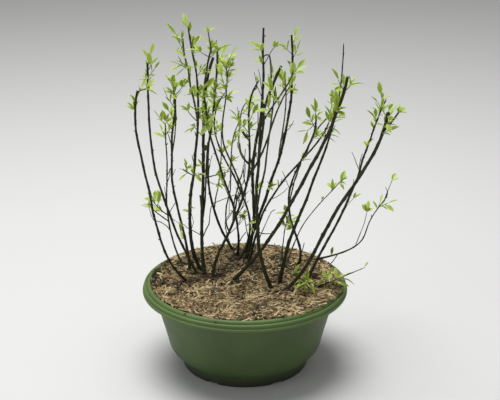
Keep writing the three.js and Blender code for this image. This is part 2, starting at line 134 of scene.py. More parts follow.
# Fine twigs that the solids leave out, by what carries them: the fraction of its rise where each leaves it;
# the twig's corners, right, back and up from there; girth at both ends; and where a tuft ends it, how many
# leaves and how large beside the usual. Their order sets their seeds.
FINE_TWIGS = [
    ("left_1", (0.99, [(6, -2, 5), (15, -4, 8)], (1.8, 1), 5, 1.2)),
    ("left_2", (0.285, [(-15, -8, 10)], (1.2, 0.8), 3), (0.275, [(6, -6, -3), (14, -10, -7)], (1.2, 0.8), 3)),
    ("left_3", (0.64, [(6, -6, 36), (9, -8, 70), (9, -9, 103)], (2.4, 1.6), 6, 1.1)),
    ("left_2", (0.96, [(6, -3, 12)], (1.3, 0.9), 5, 1.3)),
    ("left_3", (0.78, [(-6, -3, 9), (-11, -4, 18)], (1.3, 0.8), 6, 1.1),
     (1, [(-2, 0, 7), (-4, 0, 15)], (1.8, 1), 5, 1.4), (0.97, [(8, -3, 8), (14, -4, 16)], (1.6, 1), 4, 1.3)),
    ("left_4", (0.165, [(3, -3, 11), (6, -4, 21), (2, -5, 38)], (1.2, 0.8), 4),
     (0.63, [(-8, -4, 9), (-16, -6, 20)], (1.8, 1.1), 6), (0.618, [(-5, -6, -1)], (1.2, 0.8), 3, 1.5)),
    ("left_5", (0.085, [(13, -6, 10), (29, -10, 25)], (1.7, 1.1)),
     (0.165, [(8, 4, 19), (13, 8, 27), (15, 12, 49), (17, 14, 58)], (2.1, 1.3)),
     (0.185, [(-13, 3, 7), (-26, 8, 12), (-32, 10, 18)], (1.6, 1.1)),
     (0.23, [(3, 2, 20), (6, 4, 44), (8, 5, 80), (9, 5, 110), (12, 6, 150)], (3.4, 2.4)),
     (0.31, [(0, -3, 2), (-2, -4, 26)], (4.6, 4.2)), (0.58, [(4, -3, 3), (5, -3, 9)], (7, 5))),
    ("left_6",
     (0.23, [(-6, -2, 11), (-17, -6, 21), (-29, -9, 25), (-33, -10, 35), (-36, -11, 48)], (1.8, 1), 3),
     (0.57, [(3, -2, 7), (6, -3, 19), (5, -3, 27)], (1.6, 0.9))),
    ("back_1", (0, [(-7, 0, 16), (-12, 0, 34), (-15, 0, 53), (-7, -2, 66), (5, -4, 82)], (1.9, 1.1)),
     (0.205, [(3, -4, 24), (8, -8, 47), (12, -10, 78), (14, -10, 112), (14, -8, 150)], (2.4, 1.4), 4),
     (0.235, [(12, -2, 6), (25, -4, 12), (38, -5, 18), (50, -6, 22)], (1.6, 1)),
     (0.346, [(8, -4, -4), (14, -6, -4)], (1.4, 0.9), 5)),
    ("back_2", (0, [(-8, 0, 4), (1, -4, 21), (8, -6, 37), (15, -8, 47)], (2.2, 1.5)),
     (0.06, [(-1, 0, 28), (-5, 0, 57), (-7, -2, 72), (-1, -3, 90), (6, -4, 114)], (1.8, 1.1)),
     (0.18, [(4, -2, 6), (6, -3, 14), (4, -3, 24)], (1.3, 0.9)),
     (0.27, [(-9, -3, -9), (-16, -5, -18), (-16, -5, -35)], (1.4, 1)),
     (0.27, [(-9, -3, -9), (-9, -4, 5), (-8, -4, 21)], (1.1, 0.8)),
     (0.28, [(-9, 2, 20), (-15, 4, 35)], (1.8, 1.2), 3, 1.1),
     (0.3, [(6, -4, 12), (5, -5, 18), (8, -5, 25), (11, -6, 33)], (1.2, 0.8)),
     (0.97, [(-6, -3, 4), (-12, -4, 8)], (1.3, 0.8), 5, 1.4), (1, [(-2, 0, 13), (-4, 0, 27)], (2.4, 1.4), 6)),
    ("back_3", (0.02, [(13, -4, 8), (24, -6, 14), (28, -8, 24)], (1.6, 1)),
     (0.36, [(3, -4, 9), (9, -8, 17)], (1.4, 0.9)),
     (0.42, [(7, -4, 12), (10, -6, 31), (11, -6, 49)], (1.5, 1)),
     (0.446, [(7, -4, 14), (10, -6, 38)], (1.2, 0.8))),
    ("back_5", (0, [(12, 20, 3), (20, 44, 4)], (1.8, 1.2)), (0.32, [(3, -4, 5)], (1.2, 0.8), 5),
     (0.92, [(-4, -3, 4), (-9, -4, 9)], (1.2, 0.8), 5, 1.2)),
    ("middle_1", (0.216, [(11, 3, 10), (21, 6, 19), (26, 8, 26), (28, 8, 36)], (1.4, 0.9), 4),
     (0.28, [(2, 6, 27), (4, 10, 44), (12, 14, 74), (20, 16, 95)], (2.4, 1.6)),
     (0.288, [(2, 3, 14), (5, 5, 30), (6, 6, 47)], (3, 2.2)),
     (0.38, [(-6, 4, 6), (-4, 6, 16), (-1, 6, 27)], (1.2, 0.8)),
     (0.39, [(-5, 4, 4), (-2, 5, 12), (1, 6, 22)], (2, 1.4)),
     (0.466, [(-4, 4, 18), (-3, 6, 39), (-1, 8, 65)], (2, 1.2)),
     (0.5, [(7, 4, 14), (8, 6, 35), (13, 8, 62)], (2.2, 1.4)),
     (0.585, [(-5, -3, 5), (-14, -5, 22), (-16, -6, 38)], (1.8, 1.1)),
     (0.705, [(-8, -2, 9), (-12, -3, 16)], (4.6, 3.6)), (0.95, [(5, -2, 3), (6, -2, 15)], (2, 1.4), 1)),
    ("middle_1_back", (0.2, [(-3, 0, 4), (-4, 0, 14)], (1.6, 1)),
     (0.675, [(-3, 0, 10), (-5, 2, 22)], (1.6, 0.9))),
    ("middle_1_right", (0.09, [(-3, -2, 17), (-6, -3, 31)], (2.4, 1.8))),
    ("middle_2", (0.2, [(8, 6, 18), (17, 10, 38), (22, 12, 48), (28, 14, 50)], (1.8, 1.1)),
     (0.235, [(9, -6, -1), (28, -10, 1)], (1.8, 1.2)),
     (0.545, [(4, 1, 24), (7, 2, 50), (7, 2, 82)], (4.4, 3.4)),
     (0.865, [(6, -3, 12), (12, -5, 24), (16, -6, 30)], (1.5, 1), 4),
     (0.895, [(4, -2, 5), (10, -4, 5), (12, -5, -6), (13, -5, -30), (10, -6, -72)], (1.8, 3.4))),
    ("middle_3", (0.94, [(5, -3, 4), (9, -4, 10)], (1.5, 1), 6, 1.4)),
    ("right_1", (0.235, [(-4, -4, 3)], (1.2, 0.8), 5)),
    ("right_2", (0.96, [(-8, -4, -10), (-14, -5, -14)], (1.3, 0.9), 2, 1.8),
     (0.09, [(3, -2, 10), (6, -3, 24)], (2, 1.2)),
     (0.445, [(4, 4, 18), (10, 8, 44), (19, 10, 68), (22, 10, 84), (31, 8, 98), (42, 4, 122)],
      (2.4, 1.4), 4, 1.2)),
    ("right_3", (0.9, [(11, 2, 13), (24, 4, 31)], (4.2, 2.8), 6, 1.3),
     (0.975, [(1, 0, 3), (2, 0, 9)], (6, 5.4))),
    ("right_4", (0.26, [(14, 6, 24), (24, 8, 44), (34, 10, 55)], (1.5, 0.7), 2)),
    ("right_5", (0, [(-14, -12, 6), (-30, -28, 4)], (2.4, 1.8)),
     (0.09, [(-10, -20, -6), (-24, -44, -10)], (2, 1.3)),
     (0.195, [(8, 4, 21), (16, 8, 42), (20, 10, 62)], (1.6, 0.9), 8, 1.2),
     (0.84, [(4, 0, 13), (12, 0, 36)], (1.6, 1), 3, 1.2)),
]

# Tufts of leaves that sit on a stem or branch with hardly any stalk: where, how many leaves, and their size.
TUFTS = dict(
    left_1=[(0.9, 4, 1.1)], left_3=[(0.165, 3), (0.97, 4, 1.3), (1, 6, 1.5)],
    left_4=[(0.265, 4), (0.64, 4, 1.1), (0.74, 4, 1.1), (0.84, 4, 1.1)],
    left_5=[(0.5, 3), (0.66, 4), (0.72, 5, 1.2), (0.754, 6, 1.3), (0.8, 5, 1.3), (0.854, 5, 1.2)],
    back_1=[(0.56, 4), (0.64, 4), (0.674, 5, 1.2), (0.72, 5, 1.2), (0.776, 5, 1.2)],
    back_2=[(0.422, 4), (0.5, 3), (0.7, 5, 1.2), (0.74, 5, 1.3)], back_3=[(0.62, 3)], back_4=[(0.6, 2)],
    back_5=[(0.6, 2)], middle_1=[(0.27, 2), (0.7, 4, 1.2), (0.75, 5, 1.2)], middle_1_front=[(0.68, 4)],
    middle_1_left=[(0.74, 4, 1.2), (0.81, 5, 1.4), (0.88, 5, 1.4), (0.95, 5, 1.3)], middle_2=[(0.4, 4)],
    middle_3=[(0.808, 5, 1.4), (0.85, 6, 1.5)], right_2=[(0.72, 3), (1, 5, 1.4)], right_3=[(1, 2, 1.3)],
    right_4=[(0.725, 3), (0.93, 3)], right_5=[(0.06, 2), (1, 1, 0.5)], right_6=[(0.73, 2)],
    low_1=[(0.05, 3, 1.1), (0.3, 3, 1.1), (0.95, 2, 1.3)], low_2=[(0.05, 2, 1.2), (0.4, 2, 1.2), (1, 1, 0.8)],
)

# Short bare twigs round the middle of a limb: how many.
BARE_TWIGS = dict(
    left_2=2, left_3=3, left_4=3, left_5=4, left_6=2, back_1=4, back_2=5, back_3=5, back_4=4, back_5=4,
    back_6=3, middle_1=6, middle_2=5, middle_3=3, right_1=2, right_2=4, right_3=2, right_4=3,
)

# How thickly a spray's own twig is set with tufts, where that isn't the usual share.
TUFT_SHARES = dict(
    right_1=0, middle_1=0, middle_2=0.1, middle_3=0, back_4=0.2, back_5=0, back_5_side=0.2, middle_2_right=0,
    middle_1_right=0, middle_1_back=0.3, middle_2_front=0.4, left_1=0.2, left_2=0.3, left_2_side=0,
    left_3=0.3, left_4_side=0.5, right_5=0, low_1=0.3, low_2=0.2, right_3=0.3, right_4=0.3, back_6_side=0.4,
)


MASK = 0xFFFFFFFF


class Dice:
    """Repeatable random numbers, 0 to 1, drawn the same way as in the solids."""

    def __init__(self, seed):
        self.state = seed & MASK

    def __call__(self):
        self.state = state = (self.state + 0x6D2B79F5) & MASK
        mixed = ((state ^ (state >> 15)) * (1 | state)) & MASK
        mixed = ((mixed + ((mixed ^ (mixed >> 7)) * (61 | mixed))) & MASK) ^ mixed
        return (mixed ^ (mixed >> 14)) / (MASK + 1)


def unit(vector):
    return vector / np.linalg.norm(vector, axis=-1, keepdims=True)


def lerp(a, b, t):
    return a + (b - a) * t


def sway_at(sway, t):
    """How far a stem stands aside: nothing at both ends of its rise, and its sways at the bends."""
    knots = (0, *BENDS, 1)
    total = 0
    for bend, amount in zip(BENDS, sway):
        others = [knot for knot in knots if knot != bend]
        total = total + amount * np.prod([(t - knot) / (bend - knot) for knot in others], axis=0)
    return total


class Growth:
    """The middle line of a stem or branch, by the fraction of its rise."""

    def __init__(self, start, tip, sway, girth, seed):
        self.start, self.tip = np.array(start, float), np.array(tip, float)
        self.sway, self.girth = sway, girth
        dice = Dice(seed)
        reach = np.linalg.norm(self.tip - self.start)
        self.buds = max(2, math.floor(reach / BUD_SPACING + 0.5))
        kinks = [(2 * dice() - 1, 2 * dice() - 1) for _ in range(self.buds + 1)]
        self.kinks = np.array(kinks) * KINK
        self.kinks[[0, -1]] = 0

    def points(self, t):
        t = np.atleast_1d(t)
        place = np.clip(t, 0, 1) * self.buds
        bud = np.minimum(place.astype(int), self.buds - 1)
        kink = lerp(self.kinks[bud], self.kinks[bud + 1], (place - bud)[:, None])
        step = self.tip - self.start
        return np.stack([
            self.start[0] + step[0] * t + sway_at(self.sway, t) + kink[:, 0],
            self.start[1] + step[1] * t * (1 + SPREAD * (1 - t)) + kink[:, 1],
            self.start[2] + step[2] * t,
        ], axis=1)

    def point(self, t):
        return self.points(t)[0]

    def tangent(self, t):
        small = 1e-4
        return unit(self.point(min(t + small, 1)) - self.point(max(t - small, 0)))

    def radius(self, t):
        return lerp(*self.girth, t) / 2

    def span(self, start=0, end=1):
        return np.linalg.norm(self.point(end) - self.point(start))


def middle_of(line, start, end, t):
    """The middle of the faceted solid at a fraction of the rise."""
    rings = max(1, math.floor(line.span(start, end) / BUD_SPACING + 0.5))
    place = (t - start) / (end - start) * rings
    ring = min(math.floor(place), rings - 1)
    below, above = line.points(start + (end - start) * np.array([ring, ring + 1]) / rings)
    return lerp(below, above, place - ring)


def leaning(direction, angle, bearing):
    """A direction at an angle to another, on a bearing round it."""
    reference = (0, 0, 1) if abs(direction[2]) < 0.9 else (1, 0, 0)
    across = unit(np.cross(direction, reference))
    beside = np.cross(direction, across)
    sideways = across * math.cos(bearing) + beside * math.sin(bearing)
    return direction * math.cos(angle) + sideways * math.sin(angle)


class Crowd:
    """Limbs and main twigs as short straight pieces, to tell how near a place is to each."""

    def __init__(self, sprays, limbs):
        members, rows = sprays + limbs, []
        for member in members:
            line, low, high = member.line, member.low, member.high
            count = max(2, math.ceil(line.span(low, high) / SAMPLE))
            rows.append(line.points(np.linspace(low, high, count + 1)))
        self.starts = np.concatenate([row[:-1] for row in rows])
        self.steps = np.concatenate([np.diff(row, axis=0) for row in rows])
        self.squares = (self.steps ** 2).sum(1)
        self.firsts = np.cumsum([0] + [len(row) - 1 for row in rows[:-1]])
        self.radii = np.array([member.line.radius(member.low) for member in members])
        self.is_spray = np.arange(len(members)) < len(sprays)

    def fits(self, own, place, half_width):
        """True where a place is nearer to its own main twig than to any other, and clear of every limb."""
        room = half_width + MARGIN
        if math.hypot(place[0], place[1]) <= COLLAR_RADIUS + room and place[2] <= MULCH_TOP + room:
            return False
        offset = place - self.starts
        along = np.clip((offset * self.steps).sum(1) / self.squares, 0, 1)
        gaps = np.linalg.norm(offset - self.steps * along[:, None], axis=1)
        gaps = np.minimum.reduceat(gaps, self.firsts)
        rivals = self.is_spray.copy()
        rivals[own] = False
        near_rival = (gaps < gaps[own] + 2 * room + self.radii)[rivals].any()
        return not near_rival and bool((gaps > self.radii + room)[~self.is_spray].all())


def lifted(direction, share=1):
    """A direction turned a little towards the light."""
    return unit(direction + np.array([0, 0, SHOOT.lift * share]))


def add_leaf(leaves, root, direction, length, dice, fits=None):
    """One more leaf, if its blade keeps clear of the other sprays."""
    up = np.array([dice() - 0.5, dice() - 0.5, 1])
    half_width = length * LEAF.width_ratio / 2
    if fits is None or all(fits(root + direction * length * p, half_width * math.sin(math.pi * p))
                           for p in (0.25, 0.5, 0.75, 1)):
        leaves.append(Record(root=root, direction=direction, length=length, up=up))


def grow_leaves(shoot, dice, fits):
    """The leaves that the solids have: by turns along the shoot, the last nearly in line with it."""
    leaves = []
    for i in range(LEAVES.count):
        place = i / (LEAVES.count - 1)
        bearing = FULL_TURN * dice()
        lean = LEAVES.lean + LEAVES.vary * (2 * dice() - 1) if place < 1 else LEAVES.end_lean
        direction = leaning(shoot.direction, lean, bearing)
        length = LEAF.length + LEAF.vary * (2 * dice() - 1)
        along = lerp(LEAVES.first, LEAVES.last, place)
        root = shoot.root + shoot.direction * shoot.length * along
        add_leaf(leaves, root, direction, length, dice, fits)
    return leaves


def grow_shoots(spray, dice, fits):
    """Shoots round the main twig at even steps, each turned by the golden angle from the last."""
    shoots = []
    start, end = spray.leafy
    for i in range(spray.shoots):
        t = start + (end - start) * (i + 0.5 + 0.5 * (dice() - 0.5)) / spray.shoots
        bearing = i * GOLDEN_ANGLE + FULL_TURN * dice()
        length = spray.reach * lerp(SHOOT.shortest, SHOOT.longest, dice())
        root, tangent = middle_of(spray.line, spray.low, 1, t), spray.line.tangent(t)
        for turn in range(TRIES):
            direction = lifted(leaning(tangent, SHOOT.lean, bearing + turn * FULL_TURN / TRIES))
            if all(fits(root + direction * length * p, SHOOT.radius) for p in (0.5, 1)):
                shoots.append(Record(root=root, direction=direction, length=length))
                break
    return shoots


def grow_plant():
    """The limbs and the sprays, from the rows."""
    limbs, sprays = [], []

    def grow(name, start, tip, sway, girth, bare, leafy, shoots, reach, standing):
        seed = SEED + SEED_STEP * len(sprays)
        line = Growth(start, tip, sway, girth, seed)
        gap = CLEARANCE / (tip[2] - MULCH_TOP) if bare else 0
        if bare:
            limbs.append(Record(name=name, line=line, low=0, high=bare))
        sprays.append(Record(name=name, line=line, low=bare + gap, high=1, leafy=leafy, shoots=shoots,
                             reach=reach, seed=seed, standing=standing))

    for name, foot, *row in STEMS:
        grow(name, (*foot, MULCH_TOP), *row, True)
    for name, parent, at, tip, sway, girth, *row in BRANCHES:
        carrier = next(limb for limb in limbs if limb.name == parent)
        grow(name, middle_of(carrier.line, 0, carrier.high, at), tip, sway, girth, 0, *row, False)
    return limbs, sprays


# ---- mesh tools


def placed(name, data):
    """A new object in the scene."""
    thing = bpy.data.objects.new(name, data)
    bpy.context.scene.collection.objects.link(thing)
    return thing


def build(name, shapes, material, replaced=(), sharp=None):
    """One mesh of closed shapes, each of which is points and faces."""
    points, faces = [], []
    for corners, sides in shapes:
        faces += [[len(points) + corner for corner in side] for side in sides]
        points += (corners * MM).tolist()
    mesh = bpy.data.meshes.new(name)
    mesh.from_pydata(points, [], faces)
    mesh.validate()
    mesh.materials.append(material)
    if sharp is not None:
        mesh.shade_smooth()
        mesh.set_sharp_from_angle(angle=math.radians(sharp))
    piece = placed(name, mesh)
    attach(piece, "root")
    if replaced:
        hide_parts(*replaced)


def ring_faces(rings, sides):
    """Quads between rings of points, and a cap on each end."""
    faces = []
    for i in range(rings - 1):
        for j in range(sides):
            k = (j + 1) % sides
            faces.append((i * sides + j, i * sides + k, (i + 1) * sides + k, (i + 1) * sides + j))
    faces.append(tuple(reversed(range(sides))))
    faces.append(tuple(range((rings - 1) * sides, rings * sides)))
    return faces


def closed(rings, sides, *ends):
    """Points and faces of rings that close on the axis at both ends, which are heights."""
    faces = ring_faces(len(rings) // sides, sides)[:-2]
    total, top = len(rings), len(rings) - sides
    for j in range(sides):
        k = (j + 1) % sides
        faces += [(total, k, j), (total + 1, top + j, top + k)]
    return np.vstack([rings, *([[0, 0, z]] for z in ends)]), faces


def round_angles(count):
    return np.arange(count) / count * FULL_TURN


def waves(seed, longest, shortest, count=14):
    """Smooth repeatable unevenness over a plane: a sum of slanting waves, about -1 to 1."""
    dice = np.random.default_rng(seed)
    bearing = dice.uniform(0, FULL_TURN, count)
    rate = FULL_TURN / np.exp(dice.uniform(math.log(shortest), math.log(longest), count))
    across, back = rate * np.cos(bearing), rate * np.sin(bearing)
    phase = dice.uniform(0, FULL_TURN, count)

    def height(x, y):
        angle = np.multiply.outer(x, across) + np.multiply.outer(y, back) + phase
        return np.sin(angle).sum(-1) / math.sqrt(count)

    return height


# ---- pot

POT_SEGMENTS = 180
WALL = 3.2
WALL_LEAN = 0.288  # outward, per millimetre of height
KNEE = (130.5, 39)  # radius and height where the bowl turns from its foot into its wall
NOTCHES = 6  # they let water out from under the foot ring
NOTCH_RADIUS = 97  # from here out
NOTCH_WIDTH = 0.09  # radians, each way from its middle
NOTCH_EDGE = 0.02
NOTCH_HEIGHT = 3.2


def pot_profile():
    """The bowl in section, radius and height: out along the underside, up, and back down inside."""
    crest = POT_HIGH[2]
    outside = [
        (0, 2.6), (94, 2.6), (96.5, 1.8), (98, 0.3), (99.2, 0), (107.6, 0), (109.2, 0.6), (110, 2),
        (111.8, 9), (114, 16), (116.2, 21.5), (121, 25.4), (126, 29.6), (129.8, 34), (132.4, 39),
        (134.2, 45), (135.8, 52), (137.6, 59), (140.4, 70), (145.8, 90), (151, 110), (155.8, 128),
        (157.2, 133), (160.4, 138.5), (163.5, 141.6), (168, 143), (172, 142.2), (174.4, 140), (175, 137),
    ]
    inward = [  # the collar: how far in from its edge, and how high
        (1.8, 136.2), (0.9, 136.2), (0.2, 136.8), (0, 137.8), (0, 139.2), (0.4, 140.2), (1.4, 140.8),
        (2.7, 141.3), (2.9, 142.6), (2.1, 144.4), (2, 145.6), (2.5, 146.7), (3.6, 147.6), (4.9, 147.9),
        (5.8, 147.5), (6.4, 146.6), (7, 146.6), (7.4, 147.8), (7.9, 149.6), (9.2, 151), (10.8, crest - 0.1),
        (12.4, crest), (13.8, crest - 0.8), (14.8, crest - 2.2), (15.8, 147), (18.4, 141),
    ]
    collar = [(COLLAR_RADIUS - inset, z) for inset, z in inward]
    inside = [(KNEE[0] + (z - KNEE[1]) * WALL_LEAN - WALL, z) for z in (133, 100, 60, 42)]
    return outside + collar + inside + [(113, 24), (106, 6), (0, 6)]


def foot_lift(radius, z, angle):
    """How far the underside rises in its notches."""
    step = FULL_TURN / NOTCHES
    off = np.abs((angle + step / 2) % step - step / 2)
    depth = np.clip((NOTCH_WIDTH - off) / NOTCH_EDGE, 0, 1)
    return np.where(radius > NOTCH_RADIUS, depth * np.clip(NOTCH_HEIGHT - z, 0, None), 0)


def make_pot(material):
    profile = np.array(pot_profile(), float)
    radius, z = np.repeat(profile[1:-1], POT_SEGMENTS, axis=0).T
    angles = np.tile(round_angles(POT_SEGMENTS), len(profile) - 2)
    z = z + foot_lift(radius, z, angles)
    rings = np.stack([radius * np.cos(angles), radius * np.sin(angles), z], axis=1)
    shape = closed(rings, POT_SEGMENTS, profile[0, 1], profile[-1, 1])
    build("pot_shell", [shape], material, ["pot"], sharp=38)


# ---- mulch

BED_RINGS = 54
BED_SEGMENTS = 150
BED_EDGE = 160.4
BED_FLOOR = 128
BED_TAPER = 0.955  # how much narrower its underside is
BED_SINK = 2.2  # how far it lies below the top of the mulch, under the chips
RIM_START = 138  # where it starts to fall towards its edge
RIM_FALL = 4.6
LUMP, GRAIN = 1.3, 0.35  # how high its unevenness is
HOLLOW = (math.radians(171), math.radians(17))  # bearing and width, where it has sunk and its chips are darker
HOLLOW_DEPTH = 4
HOLLOW_START, HOLLOW_SLOPE = 146, 12  # how far out it begins, and how much farther it is full
HEAP = (math.radians(-18), 0.62)  # bearing and width, where chips spill over the rim
HEAP_REACH = 11
HEAP_RISE = 3.4
HEAP_START, HEAP_SLOPE = 120, 30

CHIP_COUNT = 12500
CHIP_LAYER = 3.6  # depth of loose chips over the bed
CHIP_FIELD = 171  # chips are strewn this far out; past CHIP_EDGE only those on the heap are kept
CHIP_EDGE = 162.5
CHIP_TIPS = 166.5  # no end of a chip lies farther out, but on the heap
CREST = 158  # from here out chips lie on the pot's rim
CHIP_HEIGHT = 9  # most, above the solid's
CHIP_LENGTH = Record(usual=9.2, spread=0.5, least=3, most=24)
CHIP_WIDTH = Record(usual=1.9, spread=0.42, least=0.7, most=4.4)
CHIP_THICK = (0.5, 1.3)
CHIP_ENDS = ((0.15, 0.8), (0.1, 0.7))  # width of its two ends, beside the middle
CHIP_FLAT = 0.6  # how far its ends are thinner as they are narrower
CHIP_BEND, CHIP_RAGGED = 0.08, 0.12  # beside its length
CHIP_TILT, CHIP_ROLL = 0.24, 0.5
CHIP_SINK = 0.3  # how far a chip that lies on something sinks into it
FRONT_REACH = 150  # chips grow towards the front: longer and wider by these shares
FRONT_LONGER, FRONT_WIDER = 0.45, 0.2
CHIP_TINTS = dict(straw=(214, 193, 150), tan=(176, 155, 110), brown=(133, 111, 73), grey=(104, 92, 68),
                  dark=(46, 37, 26))
CHIP_SHADE = (0.82, 0.8, 0.78)  # a chip's darker streaks, beside its tint
TINT_STEPS = (0.16, 0.39, 0.61, 0.79)  # shares of the chips, from light to dark
GLOOM = Record(patch=0.16, deep=0.12, foot=0.32, hollow=0.7, short=0.016, spot=0.3)  # what darkens chips; deep is painted shade on the chips lying low in the loose layer
FOOT_GLOOM = 15  # how far round a stem's foot the chips are darker
SHORT = 9  # a chip under this length is darker
DARK_HOLLOW_START = 150  # how far out in the hollow its chips are darker
RIM_BITS = np.array([(-47, -165, 149.6), (109, -125, 151.8), (-98, -137, 151.5)])  # dark, on the collar
BIT_LENGTH, BIT_WIDTH = 5, 3.4
DARK_SPOTS = [(-78, -2, 24), (-126, -23, 20), (19, 42, 20), (-15, -23, 16), (-30, 60, 34)]  # x, y and reach

bed_lumps = waves(11, 70, 16)
bed_grain = waves(12, 9, 4, 24)
dark_patches = waves(13, 95, 30, 10)


def bearing_weight(x, y, bearing, width):
    """1 at a bearing round the pot, falling to 0 a few widths away."""
    off = np.abs((np.arctan2(y, x) - bearing + math.pi) % FULL_TURN - math.pi)
    return np.exp(-((off / width) ** 2))


def bed_height(x, y):
    """The mulch's surface under its loose chips."""
    radius = np.hypot(x, y)
    rim = np.clip((radius - RIM_START) / (BED_EDGE - RIM_START), 0, 1)
    hollow = bearing_weight(x, y, *HOLLOW) * np.clip((radius - HOLLOW_START) / HOLLOW_SLOPE, 0, 1)
    heap = bearing_weight(x, y, *HEAP) * np.clip((radius - HEAP_START) / HEAP_SLOPE, 0, 1)
    level = MULCH_TOP - BED_SINK - RIM_FALL * rim ** 2 - HOLLOW_DEPTH * hollow + HEAP_RISE * heap
    return level + LUMP * bed_lumps(x, y) + GRAIN * bed_grain(x, y)


def make_bed(material):
    radius = BED_EDGE * np.linspace(1 / BED_RINGS, 1, BED_RINGS)
    x, y = (np.outer(radius, f(round_angles(BED_SEGMENTS))).ravel() for f in (np.cos, np.sin))
    top = np.stack([x, y, bed_height(x, y)], axis=1)
    skirt = top[-BED_SEGMENTS:] * [BED_TAPER, BED_TAPER, 0] + [0, 0, BED_FLOOR]
    points, faces = closed(np.vstack([top, skirt]), BED_SEGMENTS, bed_height(0, 0), BED_FLOOR)
    shape = points, [face[::-1] for face in faces]
    build("mulch_bed", [shape], material, ["mulch"], sharp=60)


def chip_shapes(dice, place, length, width, thick, lie):
    """Splinters: three sections of four corners, narrow at both ends and a little bent."""
    length, width, thick = length[:, None], width[:, None], thick[:, None]
    count = len(place)
    along = np.array([-0.5, 0.05, 0.5])
    first, last = (dice.uniform(*end, count) for end in CHIP_ENDS)
    narrow = np.stack([first, np.ones(count), last], axis=1)
    corners = np.array([(-0.5, -0.5), (0.5, -0.5), (0.5, 0.5), (-0.5, 0.5)])
    bend = dice.normal(0, CHIP_BEND, (count, 1)) * length * (1 - 4 * along ** 2)
    ragged = dice.uniform(-CHIP_RAGGED, CHIP_RAGGED, (count, 3, 4))
    x = (length * along)[..., None] + ragged * length[..., None]
    y = (width * narrow)[..., None] * corners[:, 0] + bend[..., None]
    z = (thick * lerp(1, narrow, CHIP_FLAT))[..., None] * corners[:, 1]
    turned = np.einsum("cij,crkj->crki", lie, np.stack([x, y, z], axis=-1))
    return turned.reshape(count, 12, 3) + place[:, None]


def turns_about(axis, angle):
    """Turns about one axis, a matrix for each angle."""
    turns = np.zeros((len(angle), 3, 3))
    i, j = (axis + 1) % 3, (axis + 2) % 3
    turns[:, axis, axis] = 1
    turns[:, i, i] = turns[:, j, j] = np.cos(angle)
    turns[:, j, i], turns[:, i, j] = np.sin(angle), -np.sin(angle)
    return turns


def lying(dice, count):
    """Turns that lay chips nearly flat at every bearing."""
    yaw = turns_about(2, dice.uniform(0, FULL_TURN, count))
    pitch = turns_about(1, dice.normal(0, CHIP_TILT, count))
    return yaw @ pitch @ turns_about(0, dice.normal(0, CHIP_ROLL, count))


def drawn(dice, size):
    """Chip sizes: most near the usual one, a few much longer."""
    sizes = dice.lognormal(math.log(size.usual), size.spread, CHIP_COUNT)
    return np.clip(sizes, size.least, size.most)


def make_chips():
    """Loose chips, dealt out among the tints: darker in patches and round the stems' feet."""
    dice = np.random.default_rng(SEED)
    radius = CHIP_FIELD * np.sqrt(dice.random(CHIP_COUNT))
    angle = dice.uniform(0, FULL_TURN, CHIP_COUNT)
    x, y = radius * np.cos(angle), radius * np.sin(angle)
    depth = dice.random(CHIP_COUNT)
    heap = bearing_weight(x, y, *HEAP)
    kept = radius < CHIP_EDGE + HEAP_REACH * heap * dice.random(CHIP_COUNT)
    front = np.clip(-y / FRONT_REACH, 0, 1)
    length = drawn(dice, CHIP_LENGTH) * (1 + FRONT_LONGER * front)
    width = drawn(dice, CHIP_WIDTH) * (1 + FRONT_WIDER * front)
    length = np.minimum(length, CHIP_LENGTH.most)
    thick = dice.uniform(*CHIP_THICK, CHIP_COUNT)
    lie = lying(dice, CHIP_COUNT)
    z = bed_height(x, y) + CHIP_LAYER * depth + CHIP_SINK
    z = np.where(radius > CREST, np.maximum(z, POT_HIGH[2] - CHIP_SINK + thick), z)
    z = np.minimum(z, MULCH_HIGH[2] + CHIP_HEIGHT - np.abs(lie[:, 2, 0]) * length / 2)
    place = np.stack([x, y, z], axis=1)
    bits = slice(len(RIM_BITS))
    place[bits], length[bits], width[bits] = RIM_BITS, BIT_LENGTH, BIT_WIDTH
    shapes = chip_shapes(dice, place, length, width, thick, lie)
    kept &= np.hypot(shapes[..., 0], shapes[..., 1]).max(1) < CHIP_TIPS + HEAP_REACH * heap
    feet = np.array([row[1] for row in STEMS], float)
    nearest = np.hypot(x[:, None] - feet[:, 0], y[:, None] - feet[:, 1]).min(1)
    hollow = bearing_weight(x, y, *HOLLOW) * (radius > DARK_HOLLOW_START)
    # painted shade: chips lying low in the loose layer get darker tints (GLOOM.deep), for the shade between
    # chips
    gloom = dark_patches(x, y) * GLOOM.patch + GLOOM.deep * (1 - depth) + dice.random(CHIP_COUNT)
    gloom += GLOOM.foot * np.exp(-((nearest / FOOT_GLOOM) ** 2)) + GLOOM.hollow * hollow
    gloom -= GLOOM.short * (length - SHORT)
    for right, back, reach in DARK_SPOTS:
        gloom += GLOOM.spot * np.exp(-(((x - right) ** 2 + (y - back) ** 2) / reach ** 2))
    tint = np.digitize(gloom, np.quantile(gloom, TINT_STEPS))
    kept[bits], tint[bits] = True, len(CHIP_TINTS) - 1
    quads = ring_faces(3, 4)
    for i, (name, colour) in enumerate(CHIP_TINTS.items()):
        material = two_tone(f"chips_{name}", [c * s for c, s in zip(colour, CHIP_SHADE)], colour, 0.85,
                            (0.3, 0.65), 0.0004, scale=500, detail=3)
        build(f"chips_{name}", [(shape, quads) for shape in shapes[kept & (tint == i)]], material)


# ---- stems and twigs

